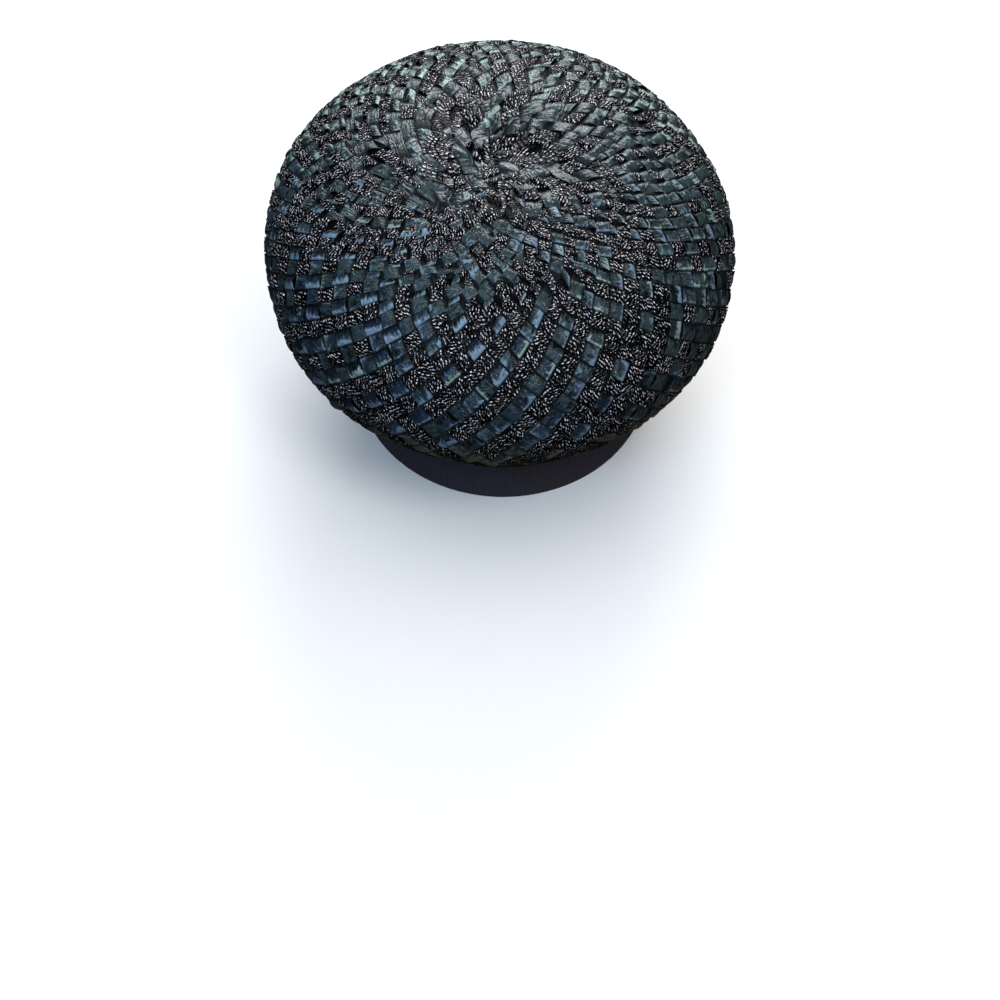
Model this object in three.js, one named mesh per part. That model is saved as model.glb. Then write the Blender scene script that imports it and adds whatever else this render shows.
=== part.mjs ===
// A bubble-crowned hat of woven straw with a plain ribbon round its head opening.
// Millimetres, +Z up. The origin lies under the middle of the crown, on the surface that the hat rests on.
// The oval's shorter way lies along X and its longer way, from front to back, along Y.
import * as THREE from "three";

// Crown: a hollow bubble that is fullest about half way up and turns in to the rim
const CROWN_HALF_WIDTH = 124;
const CROWN_HEIGHT = 173;
const FULLEST_HEIGHT = 99;
const TOP_SQUARENESS = 2.42;
const OVAL = 1.1;
const STRAW_THICKNESS = 2;

// The hat has settled a little to one side: its rim stands this far along X from under the fullest part
const LEAN = 2;

// Underside: the slope where the straw leaves the ribbon, and how far each end holds its direction
const UNDERSIDE_SLOPE_DEG = 55;
const UNDERSIDE_HOLD = 59;
const FULLEST_HOLD = 27;

// Rim: the straw's edge stands inside the ribbon, and the hat rests on the ribbon's lower edge
const RIBBON_HALF_WIDTH = 82.5;
const RIBBON_HEIGHT = 25;
const RIBBON_THICKNESS = 1;
const SEWN_GAP = 0.3;
const STRAW_EDGE_HEIGHT = 1;
const RIM_HALF_WIDTH = RIBBON_HALF_WIDTH - RIBBON_THICKNESS - SEWN_GAP;
const UNDERSIDE_START = RIBBON_HEIGHT + SEWN_GAP;

// Tip: the dimple that the strips run into, and the soft gathers round it
const DIMPLE_DEPTH = 6;
const DIMPLE_RADIUS = 17;
const GATHER_COUNT = 9;
const GATHER_DEPTH = 1.3;
const GATHER_RADIUS = 27;
const GATHER_SPREAD = 12;

// Creases on the top, each straight in plan: degrees round from +X, and millimetres out from the tip
const CREASES = [
  { azimuth: 230, start: 14, end: 56, halfWidth: 7, depth: 4.5 },
  { azimuth: 205, start: 58, end: 84, halfWidth: 6, depth: 2.2 },
  { azimuth: 95, start: 12, end: 40, halfWidth: 7, depth: 2 },
  { azimuth: 335, start: 16, end: 46, halfWidth: 7, depth: 1.8 },
];

// Soft dents and swellings of the wall: where they lie, how wide they are and how far they push outwards
const DENTS = [
  { azimuth: 196, radius: 112, height: 56, spread: 26, push: -2.5 },
  { azimuth: 160, radius: 104, height: 142, spread: 20, push: 1.5 },
  { azimuth: 25, radius: 100, height: 142, spread: 32, push: -2.4 },
  { azimuth: 75, radius: 112, height: 58, spread: 26, push: -1.6 },
];

// Facets
const SIDES = 64;
const TOP_STEPS = 18;
const UNDERSIDE_STEPS = 9;

const radians = THREE.MathUtils.degToRad;
const bell = (distance, spread) => Math.exp(-((distance / spread) ** 2));

// Outer line of the crown, from the straw's edge up to the tip
function crownLine() {
  const rim = new THREE.Vector2(RIM_HALF_WIDTH, UNDERSIDE_START);
  const fullest = new THREE.Vector2(CROWN_HALF_WIDTH, FULLEST_HEIGHT);
  const slope = radians(UNDERSIDE_SLOPE_DEG);
  const leaving = new THREE.Vector2(Math.cos(slope), Math.sin(slope)).multiplyScalar(UNDERSIDE_HOLD);
  const underside = new THREE.CubicBezierCurve(
    rim,
    rim.clone().add(leaving),
    fullest.clone().sub(new THREE.Vector2(0, FULLEST_HOLD)),
    fullest,
  );
  const line = [new THREE.Vector2(RIM_HALF_WIDTH, STRAW_EDGE_HEIGHT), ...underside.getPoints(UNDERSIDE_STEPS)];
  const rise = CROWN_HEIGHT - FULLEST_HEIGHT;
  for (let step = 1; step <= TOP_STEPS; step += 1) {
    const share = step === TOP_STEPS ? 0 : Math.cos((step / TOP_STEPS) * (Math.PI / 2));
    const lift = (1 - share ** TOP_SQUARENESS) ** (1 / TOP_SQUARENESS);
    line.push(new THREE.Vector2(CROWN_HALF_WIDTH * share, FULLEST_HEIGHT + rise * lift));
  }
  return line;
}

// The same line moved in by the straw's thickness, from the tip back down to the edge
function insideOf(line) {
  const inner = line.map((point, index) => {
    const before = line[Math.max(index - 1, 0)];
    const after = line[Math.min(index + 1, line.length - 1)];
    const along = after.clone().sub(before).normalize();
    const inward = new THREE.Vector2(-along.y, along.x);
    return point.clone().addScaledVector(inward, STRAW_THICKNESS);
  });
  inner[0].y = STRAW_EDGE_HEIGHT;
  inner.at(-1).set(0, line.at(-1).y - STRAW_THICKNESS);
  return inner.reverse();
}

// How far the tip's dimple, its gathers and the creases lower a point of the top
function topSink(x, y) {
  const out = Math.hypot(x, y);
  const around = Math.atan2(y, x);
  const gathers = 0.5 - 0.5 * Math.cos(GATHER_COUNT * around);
  let sink = DIMPLE_DEPTH * bell(out, DIMPLE_RADIUS);
  sink += GATHER_DEPTH * gathers * bell(out - GATHER_RADIUS, GATHER_SPREAD);
  for (const crease of CREASES) {
    const turn = around - radians(crease.azimuth);
    const along = out * Math.cos(turn);
    const aside = out * Math.sin(turn);
    const past = Math.max(crease.start - along, along - crease.end, 0);
    sink += crease.depth * bell(aside, crease.halfWidth) * bell(past, crease.halfWidth);
  }
  return sink;
}

// Takes a point of a round section to its place on the oval, leaning hat
function ovalPlace(point) {
  const lean = LEAN * (1 - point.z / FULLEST_HEIGHT);
  return new THREE.Vector3(point.x + lean, point.y * OVAL, point.z);
}

// Takes a point of the round crown to its place on the creased and dented one
function settle(point) {
  const onTop = THREE.MathUtils.smoothstep(point.z, FULLEST_HEIGHT, (FULLEST_HEIGHT + CROWN_HEIGHT) / 2);
  const settled = point.clone();
  settled.z -= onTop * topSink(point.x, point.y);
  const middle = new THREE.Vector3(0, 0, FULLEST_HEIGHT);
  for (const dent of DENTS) {
    const turn = radians(dent.azimuth);
    const seat = new THREE.Vector3(Math.cos(turn) * dent.radius, Math.sin(turn) * dent.radius, dent.height);
    const outward = seat.clone().sub(middle).normalize();
    settled.addScaledVector(outward, dent.push * bell(point.distanceTo(seat), dent.spread));
  }
  return ovalPlace(settled);
}

// Turns a profile round the upright axis and moves each of its points by the given rule
function turned(profile, rule) {
  const geometry = new THREE.LatheGeometry(profile, SIDES);
  geometry.rotateX(Math.PI / 2);
  const place = geometry.getAttribute("position");
  const point = new THREE.Vector3();
  for (let index = 0; index < place.count; index += 1) {
    const moved = rule(point.fromBufferAttribute(place, index));
    place.setXYZ(index, moved.x, moved.y, moved.z);
  }
  geometry.computeVertexNormals();
  return geometry;
}

function strawCrown() {
  const outer = crownLine();
  const profile = [...insideOf(outer), ...outer];
  const straw = new THREE.MeshStandardMaterial({ color: 0x18242b, roughness: 0.4, metalness: 0 });
  const crown = new THREE.Mesh(turned(profile, settle), straw);
  crown.name = "straw_crown";
  return crown;
}

function ribbonBand() {
  const inner = RIBBON_HALF_WIDTH - RIBBON_THICKNESS;
  const section = [
    new THREE.Vector2(inner, 0),
    new THREE.Vector2(RIBBON_HALF_WIDTH, 0),
    new THREE.Vector2(RIBBON_HALF_WIDTH, RIBBON_HEIGHT),
    new THREE.Vector2(inner, RIBBON_HEIGHT),
    new THREE.Vector2(inner, 0),
  ];
  const grosgrain = new THREE.MeshStandardMaterial({ color: 0x211c24, roughness: 0.85, metalness: 0 });
  const band = new THREE.Mesh(turned(section, ovalPlace), grosgrain);
  band.name = "ribbon_band";
  return band;
}

const hat = new THREE.Group();
hat.add(strawCrown(), ribbonBand());

export default hat;
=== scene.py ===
"""Looks of a bubble-crowned hat woven from raffia strips and fine cords, with its ribbon and stage."""

import dataclasses
import functools
import math

import bpy
import numpy as np
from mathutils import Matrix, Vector
from mathutils.bvhtree import BVHTree


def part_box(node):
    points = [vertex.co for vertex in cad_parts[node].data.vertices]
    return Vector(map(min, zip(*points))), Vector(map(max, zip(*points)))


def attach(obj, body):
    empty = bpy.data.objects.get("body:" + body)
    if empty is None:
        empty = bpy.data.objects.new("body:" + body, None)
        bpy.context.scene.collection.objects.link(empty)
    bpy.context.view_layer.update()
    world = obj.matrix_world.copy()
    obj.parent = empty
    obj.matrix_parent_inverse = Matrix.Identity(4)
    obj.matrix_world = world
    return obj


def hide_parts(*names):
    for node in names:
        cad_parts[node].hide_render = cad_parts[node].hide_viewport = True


bl_info = {
    "name": "Woven Straw Hat",
    "version": (1, 0, 0),
    "blender": (4, 5, 0),
    "location": "View3D > Sidebar > Hat",
    "description": "Builds a woven straw hat with a ribbon band and a plain stage",
    "category": "Add Mesh",
}

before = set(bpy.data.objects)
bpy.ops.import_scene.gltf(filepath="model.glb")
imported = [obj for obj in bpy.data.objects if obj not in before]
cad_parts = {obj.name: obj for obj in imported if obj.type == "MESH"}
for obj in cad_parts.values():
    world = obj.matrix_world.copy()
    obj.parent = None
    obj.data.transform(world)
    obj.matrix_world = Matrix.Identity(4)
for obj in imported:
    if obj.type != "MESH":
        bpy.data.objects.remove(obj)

MM = 0.001
TURN = 2 * math.pi

# The crown's wall: a point inside it that sees all of it, and how finely the wall is read
HEART_HEIGHT = 97 * MM
WALL_HALF_THICKNESS = 1 * MM
ROUND_STEPS = 192
HEIGHT_STEPS = 260
SMOOTHINGS = 4

# The weave: two sets of strips that run round the crown in opposite spirals
STRIPS = 64
FRONT = -math.pi / 2
FALLING_START = FRONT - 1.2
RISING_START = FRONT - 4.2
FIRST_PAIRS = 4
FULL_RADIUS = 90 * MM
THINNING = 0.8
GROWTH = 0.3
TIP_RADIUS = 11 * MM
LEAST_SHARE = 0.08
STRETCH_UP = 0.086
STRETCH_RIGHT = 0.057
STRETCHED_CLIMB = 1.4
STRETCH_TOP = 0.22
TOP_CLIMB = 1.1
ARCH = 1.3
LEAN = 0.14
LEAN_CLIMB = 1.1

# The tip, which lies a little to the front and left, where a few strips cross and the spirals end under them
TIP_ASIDE = (-12 * MM, -22 * MM)
TIP_PULL_RADIUS = 100 * MM
PATCH_STRIPS = 3
PATCH_PITCH = 9 * MM
PATCH_TURN = 0.35
PATCH_DIVE = 1.4 * MM
TIP_OVERLAP = 0.35

# Which strips are raffia (r) and which are cords (c), in order round the hat
FALLING_STRIPS = "rcrrcrcrrc" "crcrcrcrrc" "rcrcrcrccr" "crrccrrcrr" "crcrrcrrrc" "rcrrcrcrrc" "rcrr"
FALLING_PATCH = "rrc"
RISING_STRIPS = "rrcrcrrcrc" "crcrcrcccc" "rrrrcrrrcc" "ccrcrcrccc" "crrrrrrcrc" "crrcrrcrcr" "rcrr"
RISING_PATCH = "rcr"

# Finish: the heights over which the painted warm bounce light near the ribbon gives way, how far the
# raffia's painted highlights rise from dull to bright, and one turn of a cord's twist
WARM_BOUNCE_HEIGHTS = (73 * MM, 102 * MM)
GLINT_RANGE = 0.7
CORD_TWIST = 1.9 * MM

# Ribbon: its thickness, where its height is cut into rows, and the points for each rib
RIBBON_THICKNESS = 0.85 * MM
RIBBON_CUTS = (0.03, 0.34, 0.66, 0.97)
POINTS_PER_RIB = 4

# Stage: where the lamps hang, what they are aimed at, how wide they are, and where the camera stands
FLOOR_SIZE = 12.0
AIM = Vector((0.0, 0.0, 0.08))
KEY_PLACE = (0.5, -0.8, 1.2)
LEFT_PLACE = (-0.5, -0.95, 1.0)
LEFT_COLOUR = (0.4, 0.68, 1.0)
LOW_PLACE = (0.1, -1.3, 0.3)
BACK_PLACE = (0.15, 1.35, 0.88)
OVERHEAD_PLACE = (0.0, 0.0, 4.0)
FRONT_LAMP_SIZE = 0.5
BACK_LAMP_SIZE = 1.1
OVERHEAD_LAMP_SIZE = 8.0
SURROUNDINGS_COLOUR = (0.93, 0.96, 1.0, 1.0)
CAMERA_PLACE = (0.0, -0.741, 0.802)
CAMERA_TILT = math.radians(38.95)
SENSOR_WIDTH = 36.0


class HatWeaveSettings(bpy.types.PropertyGroup):
    """Sizes of the weave."""

    fill: bpy.props.FloatProperty(
        name="Fill",
        description="Share of its room that a strip covers",
        default=0.95,
        min=0.6,
        max=1.1,
        subtype="FACTOR",
    )
    rise: bpy.props.FloatProperty(
        name="Rise",
        description="How far a strip lifts where it goes over another",
        default=1.1 * MM,
        unit="LENGTH",
    )
    raffia_thickness: bpy.props.FloatProperty(
        name="Raffia thickness",
        description="Thickness of a raffia strip",
        default=0.35 * MM,
        unit="LENGTH",
    )
    raffia_step: bpy.props.FloatProperty(
        name="Raffia step",
        description="Length of a raffia strip between two rows of points",
        default=1.4 * MM,
        unit="LENGTH",
    )
    cords: bpy.props.IntProperty(
        name="Cords",
        description="Fine cords side by side in one strip",
        default=7,
        min=2,
        max=8,
    )
    cord_step: bpy.props.FloatProperty(
        name="Cord step",
        description="Length of a cord between two rings of points",
        default=2.2 * MM,
        unit="LENGTH",
    )
    seed: bpy.props.IntProperty(
        name="Seed",
        description="Chooses the small unevennesses of the strips",
        default=7,
    )


class HatRibbonSettings(bpy.types.PropertyGroup):
    """Sizes of the ribbon."""

    ribs: bpy.props.IntProperty(
        name="Ribs",
        description="Number of upright ribs round the ribbon",
        default=480,
        min=60,
    )
    rib_depth: bpy.props.FloatProperty(
        name="Rib depth",
        description="How far the ribs stand out",
        default=0.12 * MM,
        unit="LENGTH",
    )
    scallop: bpy.props.FloatProperty(
        name="Scallop",
        description="How far the ribs reach past the ribbon's edges",
        default=0.2 * MM,
        unit="LENGTH",
    )
    colour: bpy.props.FloatVectorProperty(
        name="Colour",
        description="Colour of the ribbon",
        subtype="COLOR",
        default=(0.046, 0.042, 0.06),
    )


class HatColourSettings(bpy.types.PropertyGroup):
    """Colours of the straw, and of the highlights, shade and warm bounce light painted on it."""

    slate: bpy.props.FloatVectorProperty(
        name="Slate",
        description="Grey-green raffia",
        subtype="COLOR",
        default=(0.03, 0.048, 0.053),
    )
    # Also painted in as bluish light on the lower left
    steel: bpy.props.FloatVectorProperty(
        name="Steel",
        description="Blue raffia",
        subtype="COLOR",
        default=(0.015, 0.031, 0.058),
    )
    # Painted highlight colour on the raffia of the sides
    glint: bpy.props.FloatVectorProperty(
        name="Glint",
        description="Brightest raffia on the sides",
        subtype="COLOR",
        default=(0.16, 0.255, 0.35),
    )
    # Painted highlight colour of a warmer blue
    violet_glint: bpy.props.FloatVectorProperty(
        name="Violet",
        description="Bright raffia of a warmer blue",
        subtype="COLOR",
        default=(0.165, 0.215, 0.315),
    )
    # Painted highlight colour on the top
    pale_glint: bpy.props.FloatVectorProperty(
        name="Pale",
        description="Brightest raffia on the top",
        subtype="COLOR",
        default=(0.26, 0.36, 0.33),
    )
    # Painted shade colour on the raffia, also taken by the dark streaks of its grain and its darker cells
    shade: bpy.props.FloatVectorProperty(
        name="Shade",
        description="Darkest raffia",
        subtype="COLOR",
        default=(0.002, 0.003, 0.004),
    )
    # Painted warm bounce light on the raffia near the ribbon
    warm_bounce: bpy.props.FloatVectorProperty(
        name="Earth",
        description="Browner raffia near the ribbon",
        subtype="COLOR",
        default=(0.13, 0.105, 0.055),
    )
    cord: bpy.props.FloatVectorProperty(
        name="Cord",
        description="Fine cords",
        subtype="COLOR",
        default=(0.0014, 0.0016, 0.0026),
    )
    # Painted highlight colour on the cords' twist
    gleam: bpy.props.FloatVectorProperty(
        name="Gleam",
        description="Crests of the cords' twist",
        subtype="COLOR",
        default=(0.9, 0.89, 0.94),
    )
    # Painted warm highlight colour on the cords near the ribbon
    warm_gleam: bpy.props.FloatVectorProperty(
        name="Olive",
        description="Crests of the cords' twist near the ribbon",
        subtype="COLOR",
        default=(0.36, 0.3, 0.16),
    )


class HatStageSettings(bpy.types.PropertyGroup):
    """Floor, lights and camera."""

    floor_colour: bpy.props.FloatVectorProperty(
        name="Floor",
        description="Colour of the floor",
        subtype="COLOR",
        default=(0.86, 0.86, 0.86),
    )
    key_power: bpy.props.FloatProperty(
        name="Key",
        description="Power of the main light",
        default=5.9,
        unit="POWER",
    )
    left_power: bpy.props.FloatProperty(
        name="Left",
        description="Power of the bluish light from the left",
        default=5.8,
        unit="POWER",
    )
    low_power: bpy.props.FloatProperty(
        name="Low",
        description="Power of the low light in front",
        default=1.5,
        unit="POWER",
    )
    back_power: bpy.props.FloatProperty(
        name="Back",
        description="Power of the light from behind",
        default=23,
        unit="POWER",
    )
    overhead_power: bpy.props.FloatProperty(
        name="Overhead",
        description="Power of the wide light over the floor, which leaves no gleam",
        default=230,
        unit="POWER",
    )
    surroundings: bpy.props.FloatProperty(
        name="Surroundings",
        description="Brightness of the room",
        default=0.025,
    )
    lens: bpy.props.FloatProperty(
        name="Lens",
        description="Focal length on a 36 mm sensor, in millimetres",
        default=68.4,
    )


def smooth_step(value, low, high):
    """0 below low, 1 above high and a smooth rise between them."""
    share = np.clip((value - low) / (high - low), 0.0, 1.0)
    return share * share * (3 - 2 * share)


def soften(values, axis, closed):
    """Values averaged with their neighbours along an axis, which may close on itself."""
    if closed:
        before, after = np.roll(values, 1, axis), np.roll(values, -1, axis)
    else:
        last = values.shape[axis] - 1
        places = np.arange(last + 1)
        before = np.take(values, np.abs(places - 1), axis)
        after = np.take(values, last - np.abs(last - places - 1), axis)
    return (before + 2 * values + after) / 4


class CrownWall:
    """The middle of the crown's wall as the frame gives it, found by a turn round the hat and a climb up it.

    The climb grows so that equal steps of turn and climb are equal lengths on the wall. It is zero at the
    ribbon's upper edge and below zero behind the ribbon.
    """

    def __init__(self):
        low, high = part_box("straw_crown")
        band_low, band_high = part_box("ribbon_band")
        self.oval = (high.y - low.y) / (high.x - low.x)
        band_middle = (band_low + band_high) / 2
        lean = band_middle.x / (HEART_HEIGHT - band_middle.z)
        rim_radius = (band_high.x - band_low.x) / 2 - 1.3 * MM
        deepest = math.atan2(rim_radius, low.z + 1.2 * MM - HEART_HEIGHT)
        down = np.linspace(0.0, deepest, HEIGHT_STEPS)[:, None]
        turn = np.arange(ROUND_STEPS)[None, :] * TURN / ROUND_STEPS
        rays = np.stack(
            [
                np.cos(turn) * np.sin(down) - lean * np.cos(down) * np.ones_like(turn),
                self.oval * np.sin(turn) * np.sin(down),
                np.cos(down) * np.ones_like(turn),
            ],
            axis=-1,
        )
        reach = self.read_reach(rays)
        for _ in range(SMOOTHINGS):
            reach = soften(soften(reach, 1, True), 0, False)
        heart = np.array([0.0, 0.0, HEART_HEIGHT])
        outside = heart + rays * reach[..., None]
        self.normal = self.read_normals(outside)
        self.middle = outside - self.normal * WALL_HALF_THICKNESS
        self.read_climb(down[:, 0], reach.mean(1), band_high.z)

    def read_reach(self, rays):
        """How far out along each ray the wall's outer face lies."""
        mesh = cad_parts["straw_crown"].data
        tree = BVHTree.FromPolygons([v.co for v in mesh.vertices], [p.vertices for p in mesh.polygons])
        heart = Vector((0.0, 0.0, HEART_HEIGHT))
        reach = np.zeros(rays.shape[:2])
        for place in np.ndindex(reach.shape):
            ray = Vector(rays[place])
            hit = tree.ray_cast(heart + ray * 0.4, -ray)[0]
            if hit is None:
                raise RuntimeError("the crown's wall has a hole at %s" % (place,))
            reach[place] = (hit - heart).length / ray.length
        return reach

    def read_normals(self, places):
        """Outward directions of the wall."""
        along_turn = np.roll(places, -1, 1) - np.roll(places, 1, 1)
        along_fall = np.gradient(places, axis=0)
        normal = np.cross(along_fall, along_turn)
        length = np.linalg.norm(normal, axis=-1, keepdims=True)
        normal = normal / np.maximum(length, 1e-12)
        normal[:2] = normal[2].mean(0) / np.linalg.norm(normal[2].mean(0))
        return normal

    def read_climb(self, down, reach, zero_height):
        """The climb and the mean radius for each row of the wall."""
        radius = reach * np.sin(down)
        height = HEART_HEIGHT + reach * np.cos(down)
        radius_mean = radius * (1 + self.oval) / 2
        step = np.hypot(np.diff(radius), np.diff(height))
        between = np.maximum((radius_mean[1:] + radius_mean[:-1]) / 2, 0.1 * MM)
        climb = np.concatenate([np.cumsum((step / between)[::-1])[::-1], [0.0]])
        rows = np.arange(len(down), dtype=float)
        below = slice(int(0.6 * len(down)), None)
        climb = climb - np.interp(-zero_height, -height[below], climb[below])
        self.climb_up = climb[::-1]
        self.rows_up = rows[::-1]
        self.radius_up = radius_mean[::-1]
        self.rim_climb = climb[-1]

    def radius_at(self, climb):
        """Mean radius of the crown at a climb."""
        return np.interp(climb, self.climb_up, self.radius_up)

    def climb_at(self, radius):
        """The climb on the crown's top where it has this mean radius."""
        fullest = int(np.argmax(self.radius_up))
        return np.interp(-radius, -self.radius_up[fullest:], self.climb_up[fullest:])

    def look_up(self, turn, row):
        """Places and outward directions at a turn and a row of the wall, which may lie between steps."""
        column = np.mod(turn / TURN, 1.0) * ROUND_STEPS
        left = np.floor(column).astype(int)
        row = np.clip(row, 0.0, HEIGHT_STEPS - 1.001)
        upper = np.floor(row).astype(int)
        across = (column - left)[..., None]
        along = (row - upper)[..., None]
        left = left % ROUND_STEPS
        right = (left + 1) % ROUND_STEPS
        found = []
        for grid in (self.middle, self.normal):
            top = grid[upper, left] * (1 - across) + grid[upper, right] * across
            bottom = grid[upper + 1, left] * (1 - across) + grid[upper + 1, right] * across
            found.append(top * (1 - along) + bottom * along)
        return found

    def at(self, turn, climb):
        """Places and outward directions at a turn and a climb."""
        row = np.interp(climb, self.climb_up, self.rows_up)
        radius = self.radius_at(climb)
        on_top = (climb > self.climb_up[np.argmax(self.radius_up)]) & (radius < TIP_PULL_RADIUS)
        reach = 2 * radius / (1 + self.oval)
        pulled_turn, pulled_row = self.pulled(reach * np.cos(turn), reach * np.sin(turn) * self.oval)
        return self.look_up(np.where(on_top, pulled_turn, turn), np.where(on_top, pulled_row, row))

    def above(self, x, y):
        """Places and outward directions near the tip, over a point in plan."""
        return self.look_up(*self.pulled(x, y))

    def pulled(self, x, y):
        """The turn and the row on the crown's top for a point in plan, pulled aside with the tip."""
        radius = np.hypot(x, y / self.oval) * (1 + self.oval) / 2
        pull = np.clip(1 - (radius / TIP_PULL_RADIUS) ** 2, 0.0, 1.0) ** 2
        x, y = x + TIP_ASIDE[0] * pull, y + TIP_ASIDE[1] * pull
        radius = np.hypot(x, y / self.oval) * (1 + self.oval) / 2
        fullest = int(np.argmax(self.radius_up))
        row = np.interp(-radius, -self.radius_up[fullest:], self.rows_up[fullest:])
        return np.arctan2(y / self.oval, x), row


@functools.cache
def crown_wall():
    """The crown's wall, read once."""
    return CrownWall()


def wander(rng, length, wave):
    """A smooth uneven line of numbers, mostly between -1 and 1, for places at these lengths along a strip."""
    knots = int(length[-1] / wave) + 4
    return np.interp(length / wave, np.arange(knots), rng.uniform(-1, 1, knots))


@dataclasses.dataclass
class Strip:
    """One strip of the weave, with a value for each row of points along it and the places to its sides."""

    length: np.ndarray
    half_width: np.ndarray
    height: np.ndarray
    over: np.ndarray
    keep: np.ndarray
    tilt: np.ndarray
    tone: np.ndarray
    down: np.ndarray
    spread: object


class Weave:
    """Where each strip of the weave runs, how wide it is and whether it lies over or under."""

    def __init__(self, settings):
        self.wall = crown_wall()
        self.settings = settings
        rng = np.random.default_rng(settings.seed)
        self.cell_tilt = rng.normal(0.0, 1.0, (STRIPS, STRIPS))
        self.cell_lift = rng.normal(0.0, 1.0, (STRIPS, STRIPS))
        self.cell_tone = rng.uniform(0.0, 1.0, (STRIPS, STRIPS))
        self.starts = self.start_climbs()

    def start_climbs(self):
        """The climb at which each strip begins.

        Strips are added in pairs, so that over and under still alternate.
        """
        pairs = STRIPS // 2
        bits = pairs.bit_length() - 1
        starts = np.zeros(STRIPS)
        climbs = np.linspace(0.0, 5.0, 500)
        raised = self.raised(climbs, 0.0)
        for turn in range(pairs):
            pair = int(format(turn, "0%db" % bits)[::-1], 2)
            radius = FULL_RADIUS * ((turn + 0.5) / pairs) ** THINNING
            if turn < FIRST_PAIRS:
                radius = 1 * MM
            starts[2 * pair : 2 * pair + 2] = np.interp(self.wall.climb_at(radius), raised, climbs)
        return starts

    def shares(self, climb):
        """How far each strip has opened at each climb, and the sum of the strips before it."""
        opened = smooth_step(self.starts[None, :] - climb[:, None], -GROWTH / 2, GROWTH / 2)
        before = np.concatenate([np.zeros((len(climb), 1)), np.cumsum(opened, 1)], 1)
        return opened, before

    def run(self, falling, strip, step):
        """The line of one strip: its climb, phase, half width and the strips that it crosses."""
        wall = self.wall
        climb = np.linspace(5.0, wall.rim_climb - 0.25, 5000)
        climb = climb[self.raised(climb, 0.0) < wall.climb_at(TIP_RADIUS)]
        opened, before = self.shares(climb)
        kept = opened[:, strip] > LEAST_SHARE
        climb, opened, before = climb[kept], opened[kept], before[kept]
        total = before[:, -1]
        middle = (before[:, strip] + opened[:, strip] / 2) / total * TURN
        phase = middle + (FALLING_START if falling else RISING_START)
        turn = phase - climb if falling else phase + climb
        turn, climb_on_wall = self.turned(turn, climb)
        kept = climb_on_wall > wall.rim_climb
        steps = wall.radius_at(climb_on_wall[1:]) * np.hypot(np.diff(turn), np.diff(climb_on_wall))
        length = np.concatenate([[0.0], np.cumsum(steps)])
        climb, phase, length = climb[kept], phase[kept], length[kept]
        half = (math.pi * opened[:, strip] / total)[kept]
        places = np.arange(0.0, length[-1] - length[0], step) + length[0]
        climb, phase, half = (np.interp(places, length, line) for line in (climb, phase, half))
        return climb, phase, half, places - places[0]

    def turned(self, turn, climb):
        """The weave's own turn and climb carried onto the wall, stretched and leaning to the front."""
        sideways = np.sin(turn - FRONT)
        lean = LEAN * np.tanh((climb - LEAN_CLIMB) / 0.4) * (1 - smooth_step(climb, 1.4, 2.4))
        return turn - lean * sideways, self.raised(climb, sideways)

    def raised(self, climb, sideways):
        """The weave's own climb stretched upwards, more to the right and most near the tip."""
        stretch = (STRETCH_UP + STRETCH_RIGHT * sideways) * np.minimum(climb, STRETCHED_CLIMB)
        return climb + stretch + STRETCH_TOP * np.maximum(climb - TOP_CLIMB, 0.0) ** 2

    def crossing(self, falling, strip, climb, phase):
        """What a strip crosses at each of its places.

        Gives the strip crossed, the share of the way over it, 1 for over or -1 for under, and how far the
        crossed strip has opened.
        """
        opened, before = self.shares(climb)
        other = phase - 2 * climb - RISING_START if falling else phase + 2 * climb - FALLING_START
        place = np.mod(other / TURN, 1.0) * before[:, -1]
        crossed = np.clip((before[:, 1:] <= place[:, None]).sum(1), 0, STRIPS - 1)
        rows = np.arange(len(climb))
        room = np.maximum(opened[rows, crossed], 1e-6)
        share = np.clip((place - before[rows, crossed]) / room, 0.0, 1.0)
        even = (strip + crossed) % 2 == 0
        over = np.where(even == falling, 1.0, -1.0)
        return crossed, share, over, smooth_step(room, 0.1, 0.75)

    def spread(self, falling, climb, phase, aside):
        """Places and outward directions on the wall at these phases to the side of a strip's line."""
        side_climb = climb[:, None] + (aside / 2 if falling else -aside / 2)
        turn = phase[:, None] + aside / 2 + (-climb[:, None] if falling else climb[:, None])
        turn, side_climb = self.turned(turn, side_climb)
        return self.wall.at(turn, side_climb)

    def rim_press(self, climb):
        """How much of its rise a strip keeps, and how far it is pressed inwards, behind the ribbon."""
        free = smooth_step(climb, 0.0, 0.1)
        return 0.45 + 0.55 * free, -0.45 * MM * (1 - free)

    def strip(self, falling, number, step):
        """One strip from near the tip down to the rim."""
        climb, phase, half, length = self.run(falling, number, step)
        crossed, share, over, open_room = self.crossing(falling, number, climb, phase)
        arch = np.tanh(ARCH * np.sin(math.pi * share)) / math.tanh(ARCH)
        cells = (number, crossed) if falling else (crossed, number)
        keep, press = self.rim_press(climb)
        radius = self.wall.radius_at(self.raised(climb, 0.0))
        half = half * (1 + TIP_OVERLAP * (1 - smooth_step(radius, 18 * MM, 42 * MM)))
        edges = self.spread(falling, climb, phase, np.stack([-half, half], 1))[0]
        under_patch = 1 - smooth_step(radius, 1.2 * PATCH_PITCH, 1.8 * PATCH_PITCH)
        height = self.settings.rise * over * arch * open_room * (1 + 0.14 * self.cell_lift[cells]) * keep
        return Strip(
            length=length,
            half_width=np.linalg.norm(edges[:, 1] - edges[:, 0], axis=-1) / 2,
            height=height + press - PATCH_DIVE * under_patch,
            over=over * arch * open_room + 0.8 * (1 - open_room),
            keep=keep,
            tilt=self.cell_tilt[cells] * arch,
            tone=self.cell_tone[cells],
            down=share if falling else 1 - share,
            spread=lambda side: self.spread(falling, climb, phase, side * half[:, None]),
        )

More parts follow.
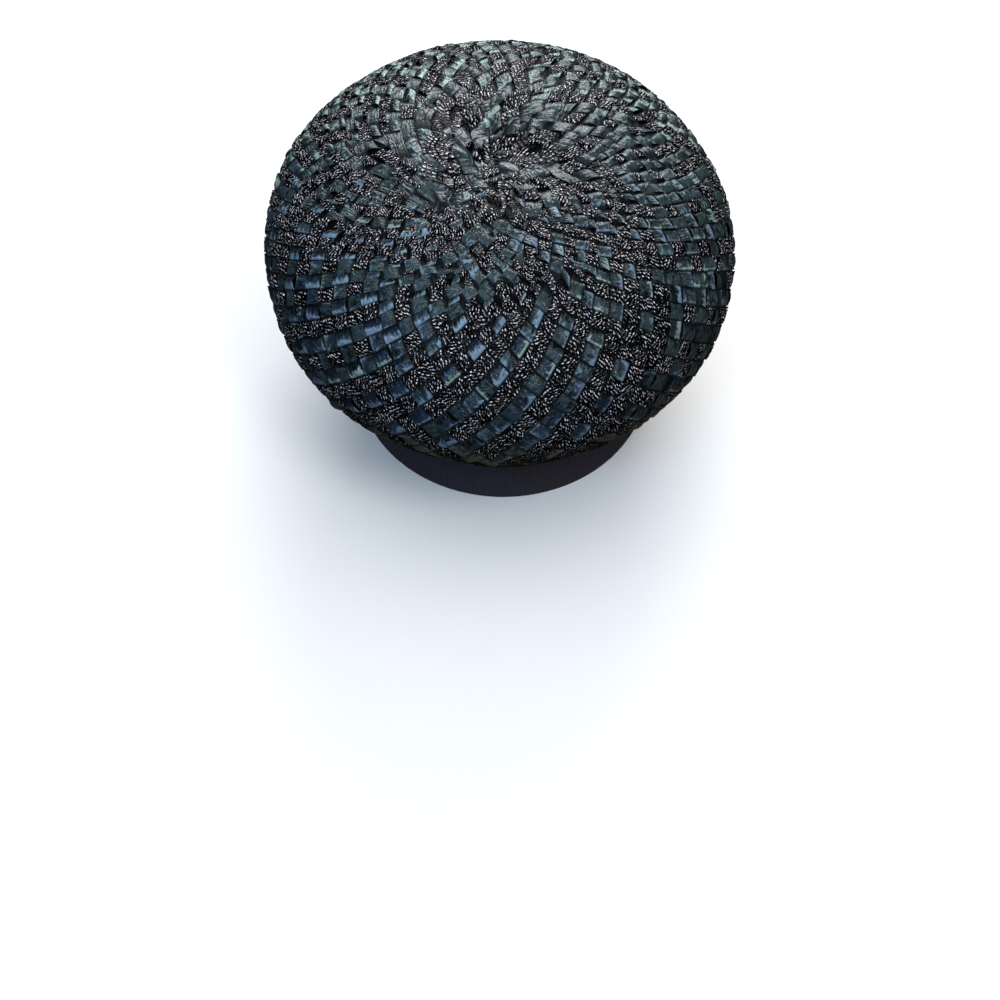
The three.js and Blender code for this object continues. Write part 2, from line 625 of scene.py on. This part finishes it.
    def patch_strip(self, first, number, step):
        """One of the strips that cross over the tip, with its ends under the spirals."""
        reach = (PATCH_STRIPS / 2 + 0.75) * PATCH_PITCH
        along = np.arange(-reach, reach, step)
        aside = (number - (PATCH_STRIPS - 1) / 2) * PATCH_PITCH
        place = along / PATCH_PITCH + PATCH_STRIPS / 2
        crossed = np.floor(place).astype(int)
        arch = np.tanh(ARCH * np.sin(math.pi * (place - crossed))) / math.tanh(ARCH)
        over = np.where(((number + crossed) % 2 == 0) == first, 1.0, -1.0) * arch
        outside = smooth_step(np.hypot(along, aside), 1.35 * PATCH_PITCH, 2.1 * PATCH_PITCH)
        cells = (crossed % STRIPS, np.full(len(along), number + 31 * first))

        def spread(side):
            across = aside + side * PATCH_PITCH / 2
            ahead = np.broadcast_to(along[:, None], across.shape)
            turn = PATCH_TURN + (math.pi / 2 if first else 0.0)
            return self.wall.above(
                ahead * math.cos(turn) - across * math.sin(turn),
                ahead * math.sin(turn) + across * math.cos(turn),
            )

        return Strip(
            length=along + reach,
            half_width=np.full(len(along), PATCH_PITCH / 2),
            height=self.settings.rise * over * (1 - outside) - PATCH_DIVE * outside,
            over=over,
            keep=np.ones(len(along)),
            tilt=self.cell_tilt[cells] * arch,
            tone=self.cell_tone[cells],
            down=place - crossed,
            spread=spread,
        )

    def strips(self, falling, kind, step):
        """All the strips of one kind in one of the two sets."""
        pattern = FALLING_STRIPS if falling else RISING_STRIPS
        patch = FALLING_PATCH if falling else RISING_PATCH
        spirals = [place for place, letter in enumerate(pattern) if letter == kind]
        over_tip = [place for place, letter in enumerate(patch) if letter == kind]
        found = [self.strip(falling, place, step) for place in spirals]
        return found + [self.patch_strip(falling, place, step) for place in over_tip]


def sweep(name, sections, ring_round):
    """A mesh of closed strips. Each section has points (rows, ring, 3), lengths, and marks for its finish."""
    ring = len(ring_round) - 1
    points, faces, rounds, lengths = [], [], [], []
    marks = {"tone": [], "cell": [], "over": [], "down": []}
    base = 0
    corner = np.arange(ring)
    after = (corner + 1) % ring
    for section in sections:
        rows = len(section["points"])
        points.append(section["points"].reshape(-1, 3))
        start = base + np.arange(rows - 1)[:, None] * ring
        quads = np.stack([start + corner, start + after, start + ring + after, start + ring + corner], -1)
        faces.extend(quads.reshape(-1, 4).tolist())
        low = np.broadcast_to(np.array(ring_round[:-1]), (rows - 1, ring))
        high = np.broadcast_to(np.array(ring_round[1:]), (rows - 1, ring))
        rounds.append(np.stack([low, high, high, low], -1).ravel())
        here = np.broadcast_to(section["length"][:-1, None], (rows - 1, ring))
        there = np.broadcast_to(section["length"][1:, None], (rows - 1, ring))
        lengths.append(np.stack([here, here, there, there], -1).ravel())
        faces.append((base + corner[::-1]).tolist())
        faces.append((base + (rows - 1) * ring + corner).tolist())
        rounds.append(np.array(ring_round[:-1])[::-1])
        rounds.append(np.array(ring_round[:-1]))
        lengths.append(np.full(ring, section["length"][0]))
        lengths.append(np.full(ring, section["length"][-1]))
        for mark, values in marks.items():
            values.append(np.repeat(np.broadcast_to(section[mark], rows), ring))
        base += rows * ring
    mesh = bpy.data.meshes.new(name)
    mesh.from_pydata(np.concatenate(points).tolist(), [], faces)
    layer = mesh.uv_layers.new(name="UVMap")
    spread = np.stack([np.concatenate(rounds), np.concatenate(lengths)], -1)
    layer.data.foreach_set("uv", spread.astype(np.float32).ravel())
    for mark, values in marks.items():
        made = mesh.attributes.new(mark, "FLOAT", "POINT")
        made.data.foreach_set("value", np.concatenate(values).astype(np.float32))
    piece = bpy.data.objects.new(name, mesh)
    bpy.context.scene.collection.objects.link(piece)
    return piece


def turn_outwards(piece):
    """Makes a piece's faces look outwards and shades them smooth up to their edges."""
    bpy.ops.object.select_all(action="DESELECT")
    piece.select_set(True)
    bpy.context.view_layer.objects.active = piece
    bpy.ops.object.mode_set(mode="EDIT")
    bpy.ops.mesh.select_all(action="SELECT")
    bpy.ops.mesh.normals_make_consistent(inside=False)
    bpy.ops.object.mode_set(mode="OBJECT")
    bpy.ops.object.shade_smooth_by_angle(angle=math.radians(55))


def belongs(piece, node):
    """Ties a piece to the frame's root and hides the part of the frame that it stands for."""
    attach(piece, "root")
    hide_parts(node)


class Value:
    """A number in a material, reckoned with as in plain arithmetic."""

    def __init__(self, tree, socket):
        self.tree = tree
        self.socket = socket

    def reckon(self, operation, first, second=0.0, third=0.0):
        node = self.tree.nodes.new("ShaderNodeMath")
        node.operation = operation
        for socket, value in zip(node.inputs, (first, second, third)):
            feed(self.tree, socket, value)
        return Value(self.tree, node.outputs[0])

    def __add__(self, other):
        return self.reckon("ADD", self, other)

    def __sub__(self, other):
        return self.reckon("SUBTRACT", self, other)

    def __mul__(self, other):
        return self.reckon("MULTIPLY", self, other)

    def __truediv__(self, other):
        return self.reckon("DIVIDE", self, other)

    def __radd__(self, other):
        return self.reckon("ADD", other, self)

    def __rsub__(self, other):
        return self.reckon("SUBTRACT", other, self)

    def __rmul__(self, other):
        return self.reckon("MULTIPLY", other, self)

    def __rtruediv__(self, other):
        return self.reckon("DIVIDE", other, self)

    def sine(self):
        return self.reckon("SINE", self)

    def size(self):
        return self.reckon("ABSOLUTE", self)

    def least(self, other):
        return self.reckon("MINIMUM", self, other)

    def most(self, other):
        return self.reckon("MAXIMUM", self, other)

    def rise(self, low, high):
        """0 below low, 1 above high and a smooth rise between them."""
        node = self.tree.nodes.new("ShaderNodeMapRange")
        node.interpolation_type = "SMOOTHSTEP"
        for name, value in (("Value", self), ("From Min", low), ("From Max", high)):
            feed(self.tree, node.inputs[name], value)
        return Value(self.tree, node.outputs[0])


def feed(tree, socket, value):
    """Gives a socket a number, a colour or another node's output."""
    if isinstance(value, Value):
        tree.links.new(value.socket, socket)
    elif isinstance(value, bpy.types.NodeSocket):
        tree.links.new(value, socket)
    else:
        socket.default_value = value


class Finish:
    """A material in the making."""

    def __init__(self, name):
        self.material = bpy.data.materials.new(name)
        self.material.use_nodes = True
        self.tree = self.material.node_tree
        self.tree.nodes.clear()
        self.shader = self.tree.nodes.new("ShaderNodeBsdfPrincipled")
        output = self.tree.nodes.new("ShaderNodeOutputMaterial")
        self.tree.links.new(self.shader.outputs["BSDF"], output.inputs["Surface"])

    def node(self, kind, settings=None, sockets=None):
        """Any node, with its settings made before its sockets are fed."""
        made = self.tree.nodes.new(kind)
        for name, value in (settings or {}).items():
            setattr(made, name, value)
        for name, value in (sockets or {}).items():
            feed(self.tree, made.inputs[name], value)
        return made

    def value(self, socket):
        return Value(self.tree, socket)

    def attribute(self, name):
        return self.value(self.node("ShaderNodeAttribute", {"attribute_name": name}).outputs["Fac"])

    def round_and_along(self):
        """Share of the way round or across a strip, and the length along it in metres."""
        uv = self.node("ShaderNodeUVMap", {"uv_map": "UVMap"})
        parts = self.node("ShaderNodeSeparateXYZ", sockets={"Vector": uv.outputs["UV"]})
        return self.value(parts.outputs["X"]), self.value(parts.outputs["Y"])

    def place(self):
        """The point's own place on the object."""
        return self.node("ShaderNodeTexCoord").outputs["Object"]

    def vector(self, x, y, z):
        return self.node("ShaderNodeCombineXYZ", sockets={"X": x, "Y": y, "Z": z}).outputs["Vector"]

    def noise(self, vector, scale, detail=2.0, distortion=0.0):
        sockets = {"Vector": vector, "Scale": scale, "Detail": detail, "Distortion": distortion}
        return self.value(self.node("ShaderNodeTexNoise", sockets=sockets).outputs["Fac"])

    def mix(self, share, first, second):
        """One colour or the other, or a mixture."""
        first, second = ((*c, 1.0) if isinstance(c, tuple) else c for c in (first, second))
        made = self.node("ShaderNodeMix", {"data_type": "RGBA"}, {0: share, 6: first, 7: second})
        return made.outputs[2]

    def bump(self, height, distance, strength, normal=None):
        sockets = {"Height": height, "Distance": distance, "Strength": strength}
        if normal is not None:
            sockets["Normal"] = normal
        return self.node("ShaderNodeBump", sockets=sockets).outputs["Normal"]

    def set(self, **inputs):
        """Feeds the shader's own sockets, with spaces for underscores in their names."""
        for name, value in inputs.items():
            feed(self.tree, self.shader.inputs[name.replace("_", " ")], value)


@dataclasses.dataclass(frozen=True)
class RaffiaLook:
    """How the light and shade painted on the raffia of one of the two spirals are set, and how grey it is."""

    falling: bool
    name: str
    grain_turn: float
    glints: float
    end_light: float
    greyness: float
    right_shade_weight: float


def raffia_finish(look, colours):
    """Glossy raffia with ridges and folds along it, with painted highlights and painted shade: each float is
    painted brightest at the end that faces the front.
    """
    make = Finish(look.name)
    across, along = make.round_and_along()
    tone = make.attribute("tone")
    cell = make.attribute("cell")
    down = make.attribute("down")
    ridges = make.noise(make.vector(across * 6.0, along * 70.0, tone * 37.0), 1.0, 3.0)
    fibres = make.noise(make.vector(across * 24.0, along * 130.0, tone * 53.0), 1.0, 2.0)
    folds = make.noise(make.vector(across * 2.0, along * 170.0, tone * 71.0 + cell * 9.0), 1.0, 1.0, 1.4)
    parts = make.node("ShaderNodeSeparateXYZ", sockets={"Vector": make.place()})
    x, y, height = (make.value(parts.outputs[axis]) for axis in "XYZ")
    clouds = make.noise(make.place(), 14.0, 2.0)
    # Painted bluish light: the raffia is mixed towards the blue raffia colour low down, on the left and in
    # front, besides its blue strips at random
    lower_left_blue_light = 1 - (height + x * 0.3 + y * 0.4).rise(0.075, 0.14)
    steel_share = (clouds * 0.9 + cell * 0.5 + lower_left_blue_light * 0.5 - look.greyness).rise(0.3, 0.8)
    # The raffia round the tip is darker, and its painted light weaker
    top = 1 - (x * x + y * y).rise(0.0012, 0.006)
    behind = y.rise(-0.05, 0.05)
    front_end = down + behind - down * behind * 2
    main = make.mix(steel_share, tuple(colours.slate), tuple(colours.steel))
    # Painted warm bounce light near the ribbon: the raffia turns browner there, with less painted shade and
    # fewer painted highlights
    warm_bounce_zone = 1 - height.rise(*WARM_BOUNCE_HEIGHTS)
    # Painted shade on the right side, below the top
    right_shade = x.rise(0.04, 0.1) * (1 - height.rise(0.1, 0.13)) * look.right_shade_weight
    main = make.mix(warm_bounce_zone * 0.85, main, tuple(colours.warm_bounce))
    # Painted light along each float: brighter towards the end that faces the front, darker towards the other
    # end, in whorls that follow the folds
    lie = ((folds - 0.5) * 2.4 + (front_end - 0.5) * look.end_light) * (1 - top * 0.5)
    # Where a float dives under another; painted shade there
    sunk = 1 - make.attribute("over").rise(0.15, 0.65)
    aside = (across - 0.5).size()
    # Painted shade in the gaps along the strip's edges, and a thin painted highlight just inside them
    edge_shade = aside.rise(0.41, 0.49)
    lit_edge = aside.rise(0.33, 0.39) * (1 - aside.rise(0.4, 0.45))
    # A thin painted highlight across the front end of some floats
    lit_end = front_end.rise(0.74, 0.8) * (1 - front_end.rise(0.84, 0.9)) * cell.rise(0.5, 0.8)
    # Mixed towards the shade colour: painted shade at the back end of each float, where it dives under, along
    # its edges and on the right side, with dark streaks of the grain and a random tone per cell; less near
    # the ribbon
    shade_and_grain = (0.1 - lie).rise(0.0, 0.6) * 0.75 + (0.5 - ridges) * 0.9 + (0.5 - fibres) * 0.6
    shade_and_grain = shade_and_grain - warm_bounce_zone * 0.3 + sunk * 0.9 + edge_shade * 0.7 + top * 0.3
    shade_and_grain = shade_and_grain + (cell * 40.0).sine() * 0.2 + right_shade
    main = make.mix(shade_and_grain.most(0.0).least(1.0), main, tuple(colours.shade))
    # Painted highlights in the glint colours: more on the back half, fewer on the right, where a float dives
    # under and near the ribbon
    sheen = lie + (ridges - 0.5) * 0.8 + (fibres - 0.5) * 0.4 + lit_edge * 0.25 + lit_end * 0.4
    sheen = sheen + (cell * 71.0).sine() * 0.25 + behind * 0.12 - right_shade
    bright_share = sheen.rise(look.glints, look.glints + GLINT_RANGE)
    glint = make.mix(cell.rise(0.2, 0.8), tuple(colours.glint), tuple(colours.violet_glint))
    # Painted highlights in the top colour on the upper back and on some cells
    upper_back = behind * height.rise(0.09, 0.13)
    glint = make.mix(upper_back.most(cell.rise(0.8, 0.85)), glint, tuple(colours.pale_glint))
    main = make.mix(bright_share * (1 - sunk) * (1 - warm_bounce_zone * 0.7), main, glint)
    bent = make.bump(folds, 2.2 * MM, 0.5)
    make.set(
        Base_Color=main,
        Roughness=0.16 + fibres * 0.22 + sunk.most(edge_shade) * 0.5,
        Specular_IOR_Level=0.5,
        Specular_Tint=(0.8, 0.95, 1.0, 1.0),
        Anisotropic=0.6,
        Anisotropic_Rotation=look.grain_turn,
        Normal=make.bump(fibres, 0.25 * MM, 0.6, make.bump(ridges, 1.1 * MM, 0.8, bent)),
    )
    return make.material


def cord_finish(name, colours):
    """Glossy black cords of three twisted plies, with highlights painted on the crests of the twist."""
    make = Finish(name)
    around, along = make.round_and_along()
    tone = make.attribute("tone")
    uneven = make.noise(make.vector(tone * 61.0, along * 120.0, 0.0), 1.0, 2.0)
    twist = ((around + along / CORD_TWIST + uneven * 2.2 + tone * 17.0) * TURN).sine() * 0.5 + 0.5
    # Random breakup of the painted highlights into short dashes, and of the roughness
    gleam_breakup = make.noise(make.vector(tone * 89.0, along * 520.0, around * 2.0), 1.0, 2.0)
    parts = make.node("ShaderNodeSeparateXYZ", sockets={"Vector": make.place()})
    # Painted warm bounce light near the ribbon: the cords' painted highlights are warmer there
    above_warm_bounce = make.value(parts.outputs["Z"]).rise(*WARM_BOUNCE_HEIGHTS)
    # Fewer painted highlights where a cord dives under another and near the ribbon
    shown = make.attribute("over").rise(-0.1, 0.7) * (0.4 + above_warm_bounce * 0.6)
    # Painted highlights on the crests of the twist
    gleam = twist.rise(0.66, 0.96) * gleam_breakup.rise(0.44, 0.66) * shown
    lit_crest = make.mix(above_warm_bounce, tuple(colours.warm_gleam), tuple(colours.gleam))
    make.set(
        Base_Color=make.mix(gleam, tuple(colours.cord), lit_crest),
        Roughness=0.14 + gleam_breakup * 0.16 + (1 - shown) * 0.4,
        Specular_IOR_Level=0.16,
        Normal=make.bump(twist, 0.6 * MM, 0.8),
    )
    return make.material


def ribbon_finish(name, colour):
    """Matt ribbed silk with painted shade in the grooves and painted light on the ribs, and a little browner
    here and there.
    """
    make = Finish(name)
    place = make.place()
    clouds = make.noise(place, 14.0, 2.0)
    threads = make.noise(place, 900.0, 2.0)
    brown = (1.5 * colour[0], 1.25 * colour[1], 0.85 * colour[2])
    # The ribs are painted lighter and the grooves darker than the ribbon's colour: painted light and painted
    # shade
    groove_shade = tuple(0.3 * part for part in colour)
    lit_crest = make.mix(clouds.rise(0.4, 0.75), tuple(1.45 * part for part in colour), brown)
    make.set(
        Base_Color=make.mix(make.attribute("groove"), lit_crest, groove_shade),
        Roughness=0.65 + threads * 0.25,
        Specular_IOR_Level=0.2,
        Normal=make.bump(threads, 0.1 * MM, 0.5),
    )
    return make.material


RAFFIA_TOP_POINTS = 9
RAFFIA_BOTTOM_POINTS = 3


def marked(points, strip, rng):
    """The points of a strip or cord, with what its finish needs to know."""
    return {
        "points": points,
        "length": strip.length + rng.uniform(0, 1),
        "tone": rng.uniform(0, 1),
        "cell": strip.tone,
        "over": strip.over,
        "down": strip.down,
    }


def raffia_section(strip, settings, rng):
    """One raffia strip with its crown, ridges, tilted floats and uneven edges."""
    length = strip.length
    across = np.linspace(-1, 1, RAFFIA_TOP_POINTS)
    left = wander(rng, length, 7 * MM)[:, None]
    right = wander(rng, length, 7 * MM)[:, None]
    edge = np.where(across > 0, right, left) * 0.07 * across ** 2
    side = (across + edge) * settings.fill * (1 + 0.06 * strip.over)[:, None]
    narrow = np.minimum(strip.half_width / (4 * MM), 1.0)[:, None]
    tilt = 0.12 * (np.clip(strip.tilt, -1.5, 1.5) * strip.half_width)[:, None]
    crown = 0.16 * MM * (1 - across ** 2) * strip.over[:, None]
    ridges = sum(
        0.06 * MM * np.cos(math.pi * (count * across + 2 * wander(rng, length, 16 * MM)[:, None]))
        for count in (1.6, 2.7, 3.6)
    )
    lift = strip.height[:, None] + (tilt * across + crown + ridges) * strip.keep[:, None] * narrow
    top, normal = strip.spread(side)
    thick = settings.raffia_thickness / 2
    upper = top + normal * (lift + thick)[..., None]
    under = top - normal * (thick - lift)[..., None]
    picks = np.linspace(RAFFIA_TOP_POINTS - 1, 0, RAFFIA_BOTTOM_POINTS).astype(int)
    return marked(np.concatenate([upper, under[:, picks]], 1), strip, rng)


def cord_sections(strip, settings, rng):
    """The fine cords of one strip."""
    length = strip.length
    radius = settings.fill * strip.half_width / settings.cords * 1.06
    angles = math.pi / 4 + np.arange(4) * math.pi / 2
    made = []
    for cord in range(settings.cords):
        side = (2 * cord + 1 - settings.cords) / settings.cords
        stray = 0.06 * wander(rng, length, 9 * MM)
        middle, normal = strip.spread(((side + stray) * settings.fill)[:, None])
        middle, normal = middle[:, 0], normal[:, 0]
        forward = np.gradient(middle, axis=0)
        beside = np.cross(normal, forward)
        beside /= np.linalg.norm(beside, axis=-1, keepdims=True)
        lift = (strip.height + 0.15 * MM * wander(rng, length, 8 * MM) * strip.keep)[:, None]
        reach = radius[:, None]
        ring = [
            middle + normal * (lift + reach * math.sin(angle)) + beside * reach * math.cos(angle)
            for angle in angles
        ]
        made.append(marked(np.stack(ring, 1), strip, rng))
    return made


RAFFIA_LOOKS = (
    RaffiaLook(
        falling=True,
        name="raffia_falling",
        grain_turn=0.125,
        glints=0.1,
        end_light=2.0,
        greyness=0.45,
        right_shade_weight=0.4,
    ),
    RaffiaLook(
        falling=False,
        name="raffia_rising",
        grain_turn=0.875,
        glints=0.35,
        end_light=0.9,
        greyness=0.75,
        right_shade_weight=0.0,
    ),
)
CORD_PIECES = (
    (True, 0, "cords_falling_odd"),
    (True, 1, "cords_falling_even"),
    (False, 0, "cords_rising_odd"),
    (False, 1, "cords_rising_even"),
)


class HAT_OT_raffia(bpy.types.Operator):
    """Weaves the raffia strips of both spirals"""

    bl_idname = "hat.raffia"
    bl_label = "Raffia Strips"

    def execute(self, context):
        settings = context.scene.hat_weave
        weave = Weave(settings)
        top = [k / (RAFFIA_TOP_POINTS - 1) for k in range(RAFFIA_TOP_POINTS)]
        ring_round = top + [1.0, 0.5, 0.0, 0.0]
        for look in RAFFIA_LOOKS:
            rng = np.random.default_rng(settings.seed + 11 + look.falling)
            strips = weave.strips(look.falling, "r", settings.raffia_step)
            sections = [raffia_section(strip, settings, rng) for strip in strips]
            piece = sweep(look.name, sections, ring_round)
            turn_outwards(piece)
            piece.data.materials.append(raffia_finish(look, context.scene.hat_colours))
            belongs(piece, "straw_crown")
        return {"FINISHED"}


class HAT_OT_cords(bpy.types.Operator):
    """Weaves the strips of fine cords of both spirals"""

    bl_idname = "hat.cords"
    bl_label = "Cord Strips"

    def execute(self, context):
        settings = context.scene.hat_weave
        weave = Weave(settings)
        ring_round = [0.0, 0.25, 0.5, 0.75, 1.0]
        finish = cord_finish("cords", context.scene.hat_colours)
        for falling, part, name in CORD_PIECES:
            rng = np.random.default_rng(settings.seed + 23 + 2 * falling + part)
            sections = []
            for strip in weave.strips(falling, "c", settings.cord_step)[part::2]:
                sections.extend(cord_sections(strip, settings, rng))
            piece = sweep(name, sections, ring_round)
            turn_outwards(piece)
            piece.data.materials.append(finish)
            belongs(piece, "straw_crown")
        return {"FINISHED"}


class HAT_OT_ribbon(bpy.types.Operator):
    """Makes the ribbed ribbon round the rim"""

    bl_idname = "hat.ribbon"
    bl_label = "Ribbon"

    def execute(self, context):
        settings = context.scene.hat_ribbon
        low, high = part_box("ribbon_band")
        middle = (low + high) / 2
        half = (high - low) / 2
        bpy.ops.object.select_all(action="DESELECT")
        bpy.ops.mesh.primitive_cylinder_add(
            vertices=settings.ribs * POINTS_PER_RIB,
            radius=1.0,
            depth=2 * half.z,
            end_fill_type="NOTHING",
            location=middle,
        )
        piece = context.active_object
        piece.name = "ribbon"
        piece.scale = (half.x, half.y, 1.0)
        bpy.ops.object.transform_apply(location=True, rotation=True, scale=True)
        bpy.ops.object.mode_set(mode="EDIT")
        for share in RIBBON_CUTS:
            bpy.ops.mesh.select_all(action="SELECT")
            bpy.ops.mesh.bisect(plane_co=(0, 0, low.z + share * 2 * half.z), plane_no=(0, 0, 1))
        bpy.ops.object.mode_set(mode="OBJECT")
        self.raise_ribs(piece.data, settings, middle, half)
        thickness = piece.modifiers.new("Thickness", "SOLIDIFY")
        thickness.thickness = RIBBON_THICKNESS
        thickness.offset = -1.0
        bpy.ops.object.modifier_apply(modifier=thickness.name)
        turn_outwards(piece)
        piece.data.materials.append(ribbon_finish("ribbon", settings.colour))
        belongs(piece, "ribbon_band")
        return {"FINISHED"}

    def raise_ribs(self, mesh, settings, middle, half):
        """Presses the grooves between the ribs in, at the edges too, and marks them for the finish."""
        places = np.zeros(len(mesh.vertices) * 3, np.float32)
        mesh.vertices.foreach_get("co", places)
        places = places.reshape(-1, 3)
        turn = np.arctan2((places[:, 1] - middle.y) / half.y, (places[:, 0] - middle.x) / half.x)
        groove = 0.5 - 0.5 * np.cos(turn * settings.ribs)
        inwards = 1 - groove * settings.rib_depth / half.x
        places[:, 0] = middle.x + (places[:, 0] - middle.x) * inwards
        places[:, 1] = middle.y + (places[:, 1] - middle.y) * inwards
        upright = (places[:, 2] - middle.z) / half.z
        ends = np.abs(upright) > 0.999
        places[ends, 2] -= np.sign(upright[ends]) * groove[ends] * settings.scallop
        mesh.vertices.foreach_set("co", places.ravel())
        made = mesh.attributes.new("groove", "FLOAT", "POINT")
        made.data.foreach_set("value", groove.astype(np.float32))
        mesh.update()


class HAT_OT_stage(bpy.types.Operator):
    """Sets the floor, lights, surroundings and camera"""

    bl_idname = "hat.stage"
    bl_label = "Stage"

    def execute(self, context):
        settings = context.scene.hat_stage
        bpy.ops.object.select_all(action="DESELECT")
        bpy.ops.mesh.primitive_plane_add(size=FLOOR_SIZE, location=(0, 0, 0))
        floor = context.active_object
        floor.name = "floor"
        make = Finish("floor")
        speckle = make.noise(make.place(), 30.0, 2.0)
        colour = tuple(settings.floor_colour)
        duller = tuple(0.985 * part for part in colour)
        make.set(Base_Color=make.mix(speckle, colour, duller), Roughness=0.9, Specular_IOR_Level=0.1)
        floor.data.materials.append(make.material)
        floor.visible_diffuse = False
        floor.visible_glossy = False
        self.lamp("key_light", KEY_PLACE, FRONT_LAMP_SIZE, settings.key_power)
        left = self.lamp("left_light", LEFT_PLACE, FRONT_LAMP_SIZE, settings.left_power)
        left.data.color = LEFT_COLOUR
        self.lamp("low_light", LOW_PLACE, FRONT_LAMP_SIZE, settings.low_power)
        self.lamp("back_light", BACK_PLACE, BACK_LAMP_SIZE, settings.back_power)
        overhead = self.lamp("overhead_light", OVERHEAD_PLACE, OVERHEAD_LAMP_SIZE, settings.overhead_power)
        overhead.visible_glossy = False
        world = bpy.data.worlds.new("surroundings")
        context.scene.world = world
        world.use_nodes = True
        background = world.node_tree.nodes["Background"]
        background.inputs["Color"].default_value = SURROUNDINGS_COLOUR
        background.inputs["Strength"].default_value = settings.surroundings
        self.camera(context, settings)
        context.scene.view_settings.view_transform = "Standard"
        return {"FINISHED"}

    def lamp(self, name, place, size, power):
        data = bpy.data.lights.new(name, "AREA")
        data.shape = "DISK"
        data.size = size
        data.energy = power
        lamp = bpy.data.objects.new(name, data)
        lamp.location = place
        lamp.rotation_euler = (AIM - Vector(place)).to_track_quat("-Z", "Y").to_euler()
        bpy.context.scene.collection.objects.link(lamp)
        return lamp

    def camera(self, context, settings):
        data = bpy.data.cameras.new("camera")
        data.lens = settings.lens
        data.sensor_width = SENSOR_WIDTH
        camera = bpy.data.objects.new("camera", data)
        camera.location = CAMERA_PLACE
        camera.rotation_euler = (CAMERA_TILT, 0.0, 0.0)
        context.scene.collection.objects.link(camera)
        context.scene.camera = camera


class HAT_PT_panel(bpy.types.Panel):
    """Sizes, colours and pieces of the hat"""

    bl_label = "Hat"
    bl_idname = "HAT_PT_panel"
    bl_space_type = "VIEW_3D"
    bl_region_type = "UI"
    bl_category = "Hat"

    def draw(self, context):
        layout = self.layout
        for operator in PIECES:
            layout.operator(operator.bl_idname)
        for group in GROUPS:
            settings = getattr(context.scene, group)
            for name in settings.bl_rna.properties.keys():
                if name not in ("rna_type", "name"):
                    layout.prop(settings, name)


PIECES = (HAT_OT_raffia, HAT_OT_cords, HAT_OT_ribbon, HAT_OT_stage)
GROUPS = {
    "hat_weave": HatWeaveSettings,
    "hat_ribbon": HatRibbonSettings,
    "hat_colours": HatColourSettings,
    "hat_stage": HatStageSettings,
}


def register():
    for made in (*GROUPS.values(), *PIECES, HAT_PT_panel):
        bpy.utils.register_class(made)
    for name, group in GROUPS.items():
        setattr(bpy.types.Scene, name, bpy.props.PointerProperty(type=group))


def unregister():
    for name in GROUPS:
        delattr(bpy.types.Scene, name)
    for made in reversed((*GROUPS.values(), *PIECES, HAT_PT_panel)):
        bpy.utils.unregister_class(made)


def main():
    register()
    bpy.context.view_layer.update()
    bpy.ops.hat.raffia()
    bpy.ops.hat.cords()
    bpy.ops.hat.ribbon()
    bpy.ops.hat.stage()
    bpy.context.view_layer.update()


if __name__ == "__main__":
    main()
